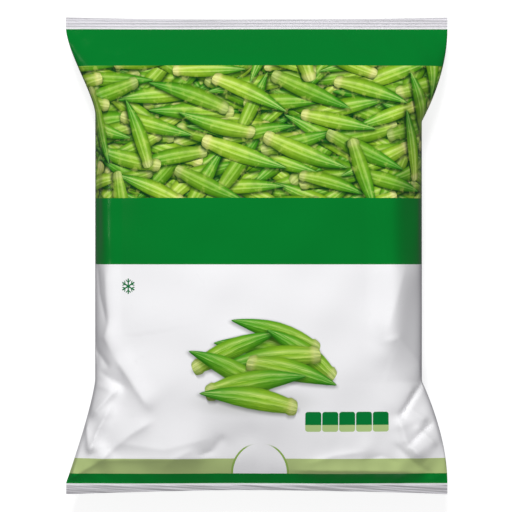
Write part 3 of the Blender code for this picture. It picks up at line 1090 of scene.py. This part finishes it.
def dress_film(made, inks):
    """Gives a piece of film its two materials, the heap's where its faces lie in the picture band."""
    made.data.materials.append(bpy.data.materials.get("film_band_print") or band_material(inks))
    made.data.materials.append(bpy.data.materials.get("film_heap_print") or heap_material())
    centres = np.empty(len(made.data.polygons) * 3)
    made.data.polygons.foreach_get("center", centres)
    y = centres[1::3] * 1000
    in_picture = (y > PICTURE_TO_GREEN) & (y < GREEN_TO_PICTURE)
    made.data.polygons.foreach_set("material_index", in_picture.astype(np.int32))


def pod_axis(mesh):
    """Stem, direction and length of a pod: its longest axis, from the end that keeps its width."""
    points = np.empty(len(mesh.vertices) * 3)
    mesh.vertices.foreach_get("co", points)
    points = points.reshape(-1, 3)
    middle = points.mean(0)
    _, _, axes = np.linalg.svd(points - middle, full_matrices=False)
    along = (points - middle) @ axes[0]
    off = np.linalg.norm(points - middle - along[:, None] * axes[0], axis=1)
    direction = axes[0]
    third = (along.max() - along.min()) / 3
    if off[along > along.max() - third].mean() > off[along < along.min() + third].mean():
        direction, along = -direction, -along
    stem = middle + direction * along.min()
    return stem, direction, along.max() - along.min()


def okra_material(name, mesh, colours):
    """Frosted okra skin: ribs by the angle round the pod, a pale stem and cap, and specks of ice."""
    stem, direction, length = pod_axis(mesh)
    side = np.cross(direction, (0.0, 0.0, 1.0) if abs(direction[2]) < 0.9 else (1.0, 0.0, 0.0))
    side /= np.linalg.norm(side)
    other = np.cross(direction, side)
    material, bench = new_material("frosted_" + name)
    place = bench.node("ShaderNodeTexCoord", (), (), "Object")
    local = bench.node("ShaderNodeVectorMath", {"operation": "SUBTRACT"}, (place, tuple(stem)))

    def part(axis):
        dot = {"operation": "DOT_PRODUCT"}
        return bench.node("ShaderNodeVectorMath", dot, (local, tuple(axis)), "Value")

    t = part(direction) / float(length)
    turn = bench.math("ARCTAN2", part(side), part(other))
    ribs = bench.math("COSINE", turn * 5) * 0.5 + 0.5
    patches = bench.noise(place, 55.0, 3.0)
    green = bench.blend(ribs * 0.7 + patches * 0.4, colours.furrow, colours.skin)
    green = bench.blend(bench.step(t, 0.55, 1.0) * 0.7, green, colours.furrow)
    cap = bench.step(t, 0.19, 0.13)
    green = bench.blend(cap * 0.75, green, colours.stem)
    ring = bench.between(t, 0.155, 0.185, 0.012)
    green = bench.blend(ring * 0.8, green, colours.stem)
    ice = bench.step(bench.noise(place, 420.0, 4.0, 0.7), 0.56, 0.70)
    green = bench.blend(ice * 0.55, green, colours.frost)
    fuzz = bench.noise(place, 900.0, 2.0)
    relief = {"Strength": 0.35, "Distance": 0.0006, "Height": fuzz * 0.3 + ribs + ice * 0.5}
    bump = bench.node("ShaderNodeBump", (), relief, "Normal")
    bench.finish(Base_Color=green, Roughness=0.50 + ice * 0.2, Sheen_Weight=0.25, Normal=bump)
    return material


class POUCH_OT_film(Operator):
    """Makes the printed film of the pouch, in place of the plain solid"""

    bl_idname = "pouch.film"
    bl_label = "Printed Film"

    def execute(self, context):
        pouch = Pouch(context.scene.pouch_film)
        points, quads, uv = film_skin(pouch)
        film = mesh_object("printed_film_pouch", points, quads, uv)
        film.data.set_sharp_from_angle(angle=math.radians(55))
        dress_film(film, context.scene.pouch_inks)
        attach(film, "root")
        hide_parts("film_pouch")
        return {"FINISHED"}


class POUCH_OT_seam(Operator):
    """Makes the lap seam down the back of the pouch"""

    bl_idname = "pouch.seam"
    bl_label = "Back Seam"

    def execute(self, context):
        pouch = Pouch(context.scene.pouch_film)
        points, faces, uv = seam_strip(pouch)
        seam = mesh_object("back_seam", points, faces, uv)
        seam.data.set_sharp_from_angle(angle=math.radians(60))
        dress_film(seam, context.scene.pouch_inks)
        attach(seam, "root")
        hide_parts("film_pouch")
        return {"FINISHED"}


class POUCH_OT_pods(Operator):
    """Gives every okra pod inside the pouch its own frosted skin"""

    bl_idname = "pouch.pods"
    bl_label = "Okra Pods"

    def execute(self, context):
        colours = context.scene.pouch_okra
        for name, pod in sorted(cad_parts.items()):
            if not name.startswith("okra_pod_"):
                continue
            skin = okra_material(name, pod.data, colours)
            for slot in pod.material_slots:
                slot.material = skin
        return {"FINISHED"}


def floor_material(look):
    """A pale matt floor that glows a little, as a light table does."""
    material, bench = new_material("pale_floor")
    tone = bench.noise(bench.node("ShaderNodeTexCoord", (), (), "Object"), 3.0) * 0.02 + 0.50
    pale = bench.node("ShaderNodeCombineColor", (), (tone, tone, tone))
    glow = look.floor_glow
    bench.finish(Base_Color=pale, Roughness=0.7, Emission_Color=(1, 1, 1, 1), Emission_Strength=glow)
    return material


def round_light(name, place, size, power, matt):
    """A round light aimed at the pouch. A matt one gives no glints, and the other kind only glints."""
    data = bpy.data.lights.new(name, "AREA")
    data.shape, data.size, data.energy = "DISK", size, power
    light = bpy.data.objects.new(name, data)
    light.visible_diffuse, light.visible_glossy = matt, not matt
    x, y, z = place
    light.location = place
    light.rotation_euler = (math.acos(z / math.hypot(x, y, z)), 0, math.atan2(x, -y))
    bpy.context.scene.collection.objects.link(light)


def even_sky(strength):
    """Weak light from all sides, a little lilac."""
    world = bpy.data.worlds.new("even_light")
    world.use_nodes = True
    background = world.node_tree.nodes["Background"]
    background.inputs["Color"].default_value = (0.95, 0.93, 1.0, 1)
    background.inputs["Strength"].default_value = strength
    return world


def straight_down_camera(look, seal_height):
    """A camera above the pouch whose picture is as wide as the field at the height of the seals."""
    data = bpy.data.cameras.new("camera")
    data.sensor_width = 36.0
    data.lens = data.sensor_width * look.distance / look.field
    data.clip_end = 20.0
    camera = bpy.data.objects.new("camera", data)
    camera.location = (CAMERA_X, 0.0, seal_height + look.distance)
    bpy.context.scene.collection.objects.link(camera)
    return camera


class POUCH_OT_stage(Operator):
    """Makes the floor, the light and the camera straight above the pouch"""

    bl_idname = "pouch.stage"
    bl_label = "Stage"

    def execute(self, context):
        scene, look = context.scene, context.scene.pouch_studio
        floor = mesh_object("floor", *coved_floor())
        floor.data.materials.append(floor_material(look))
        floor.visible_diffuse = floor.visible_glossy = floor.visible_shadow = False
        round_light("key", (-0.15, 1.4, 1.9), 0.7, look.key_power, matt=True)
        round_light("fill", (-0.1, -1.25, 2.1), 0.9, look.key_power * FILL_SHARE, matt=True)
        round_light("glint", (-1.9, 0.3, 1.0), 0.3, look.key_power * GLINT_SHARE, matt=False)
        scene.world = even_sky(look.sky)
        scene.camera = straight_down_camera(look, scene.pouch_film.seal_height)
        scene.view_settings.view_transform = "Standard"
        return {"FINISHED"}


STEPS = (POUCH_OT_film, POUCH_OT_seam, POUCH_OT_pods, POUCH_OT_stage)


class POUCH_PT_panel(Panel):
    """Lists the pouch's settings and the steps that make it"""

    bl_idname = "POUCH_PT_panel"
    bl_label = "Frozen Okra Pouch"
    bl_space_type = "VIEW_3D"
    bl_region_type = "UI"
    bl_category = "Pouch"

    def draw(self, context):
        for group in ("pouch_film", "pouch_inks", "pouch_okra", "pouch_studio"):
            box = self.layout.box()
            settings = getattr(context.scene, group)
            for name in settings.bl_rna.properties.keys():
                if name not in ("rna_type", "name"):
                    box.prop(settings, name)
        for step in STEPS:
            self.layout.operator(step.bl_idname)


GROUPS = {
    "pouch_film": FilmSizes,
    "pouch_inks": PrintInks,
    "pouch_okra": OkraColours,
    "pouch_studio": StudioLook,
}
CLASSES = (*GROUPS.values(), *STEPS, POUCH_PT_panel)


def register():
    for made in CLASSES:
        bpy.utils.register_class(made)
    for name, group in GROUPS.items():
        setattr(bpy.types.Scene, name, PointerProperty(type=group))


def unregister():
    for name in GROUPS:
        delattr(bpy.types.Scene, name)
    for made in reversed(CLASSES):
        bpy.utils.unregister_class(made)


def main():
    register()
    bpy.ops.pouch.film()
    bpy.ops.pouch.seam()
    bpy.ops.pouch.pods()
    bpy.ops.pouch.stage()


if __name__ == "__main__":
    main()
